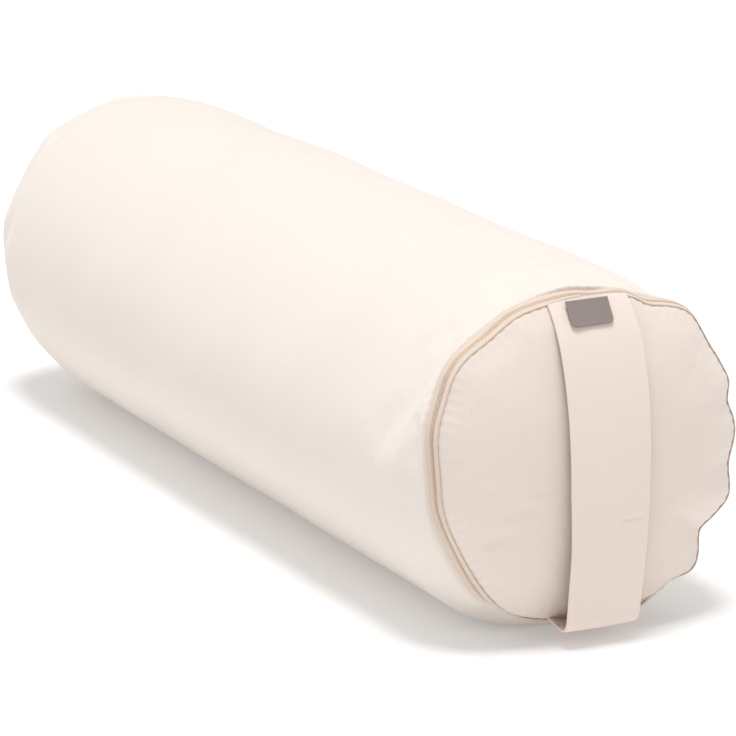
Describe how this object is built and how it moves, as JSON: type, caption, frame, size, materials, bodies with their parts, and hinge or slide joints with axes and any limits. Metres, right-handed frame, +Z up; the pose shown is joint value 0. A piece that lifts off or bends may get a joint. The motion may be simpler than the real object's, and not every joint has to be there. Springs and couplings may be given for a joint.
{
  "type": "bolster pillow",
  "caption": "Round bolster pillow: a stuffed cotton tube with a zipped end panel, a slack carrying strap across that end, and a filled inner cushion.",
  "frame": {"origin": "middle of the footprint, on the surface that the bolster lies on", "axes": "+X along the bolster to the end with the zip and the strap, +Y across it, +Z up"},
  "size_m": [0.713, 0.22, 0.2111],
  "materials": {
    "cover_cloth": "matte",
    "end_cloth": "matte",
    "liner_cloth": "matte",
    "filling": "matte",
    "zip_tape": "matte",
    "zip_coil": "satin",
    "zip_metal": "satin",
    "strap_cloth": "matte",
    "label_weave": "matte",
    "care_cloth": "satin"
  },
  "bodies": {
    "cover": {"cover_tube": "cover_cloth", "rear_end_panel": "end_cloth", "end_panel_sewn_edge": "end_cloth", "rear_seam_allowance": "cover_cloth", "front_seam_allowance": "cover_cloth", "tube_seam_allowance": "cover_cloth", "inner_casing_tube": "liner_cloth", "inner_casing_front_disc": "liner_cloth", "inner_casing_rear_disc": "liner_cloth", "filling": "filling", "zip_tape_tube_side": "zip_tape", "zip_coil_tube_side": "zip_coil", "hinge_band": "zip_tape", "zip_closed_end_stop": "zip_metal", "zip_open_end_stop": "zip_metal", "care_label": "care_cloth"},
    "slider": {"zip_slider": "zip_metal"},
    "pull": {"zip_pull": "zip_metal"},
    "end_flap": {"end_panel": "end_cloth", "zip_tape_panel_side": "zip_tape", "zip_coil_panel_side": "zip_coil"},
    "handle": {"handle_strap": "strap_cloth"},
    "label": {"woven_label": "label_weave"}
  },
  "joints": [
    {"name": "zip_travel", "type": "hinge", "parent": "cover", "child": "slider", "pos_m": [0.3195, 0, 0.1087], "axis": [1, 0, 0], "range_deg": [0, 297.6], "deforming": ["zip_coil_tube_side", "zip_coil_panel_side", "zip_tape_panel_side"]},
    {"name": "pull_swing", "type": "hinge", "parent": "slider", "child": "pull", "pos_m": [0.3195, 0.05424, 0.01914], "axis": [1, 0, 0], "range_deg": [0, 170]},
    {"name": "end_panel_fold", "type": "hinge", "parent": "cover", "child": "end_flap", "pos_m": [0.32734, 0, 0.01716], "axis": [0, 1, 0], "range_deg": [0, 60]},
    {"name": "handle_lift", "type": "slide", "parent": "end_flap", "child": "handle", "axis": [1, 0, 0], "range_m": [0, 0.022], "deforming": ["handle_strap"]},
    {"name": "label_flip", "type": "hinge", "parent": "end_flap", "child": "label", "pos_m": [0.3297, 0, 0.205], "axis": [0, -1, 0], "range_deg": [0, 110]}
  ],
  "couplings": [
    {"joint": "end_panel_fold", "follows": "zip_travel", "ratio": 0.2016}
  ]
}
